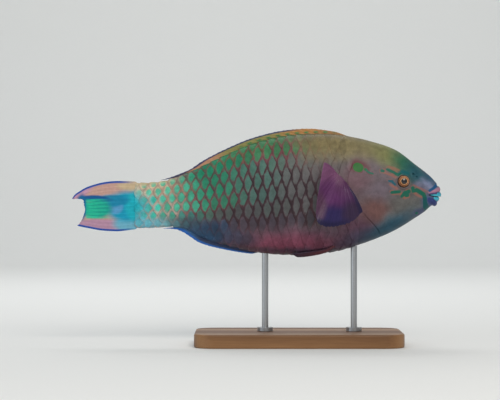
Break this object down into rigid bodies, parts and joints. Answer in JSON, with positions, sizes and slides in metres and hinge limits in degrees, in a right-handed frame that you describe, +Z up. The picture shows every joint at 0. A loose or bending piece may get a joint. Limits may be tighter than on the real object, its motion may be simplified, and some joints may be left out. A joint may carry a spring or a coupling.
{
  "type": "parrotfish model",
  "caption": "Life-size still model of a parrotfish swimming with its pectoral fins swept down, held by two short posts on a flat rectangular base.",
  "frame": {"origin": "on the floor under the stand's base, below the middle of the fish's length and on its mirror plane", "axes": "+X towards the head along the fish, +Z up, the fish's right side towards -Y"},
  "size_m": [0.2999, 0.1274, 0.1755],
  "materials": {
    "skin": "painted scales under a satin lacquer",
    "beak": "smooth and glossy",
    "eye": "wet gloss",
    "fin": "satin",
    "pectoral_fin": "satin, a little clear",
    "stand_wood": "oiled",
    "stand_steel": "brushed"
  },
  "bodies": {
    "root": {"head": "skin", "lower_jaw": "skin", "gill_cover_right": "skin", "gill_cover_left": "skin", "beak_upper": "beak", "beak_lower": "beak", "eye_right": "eye", "eye_left": "eye", "trunk": "skin", "tail_stem": "skin", "tail_fin": "fin", "dorsal_fin": "fin", "anal_fin": "fin", "pectoral_fin_right": "pectoral_fin", "pectoral_fin_left": "pectoral_fin", "pelvic_fin_right": "fin", "pelvic_fin_left": "fin", "stand_base": "stand_wood", "stand_post_front": "stand_steel", "stand_post_rear": "stand_steel"}
  },
  "joints": []
}
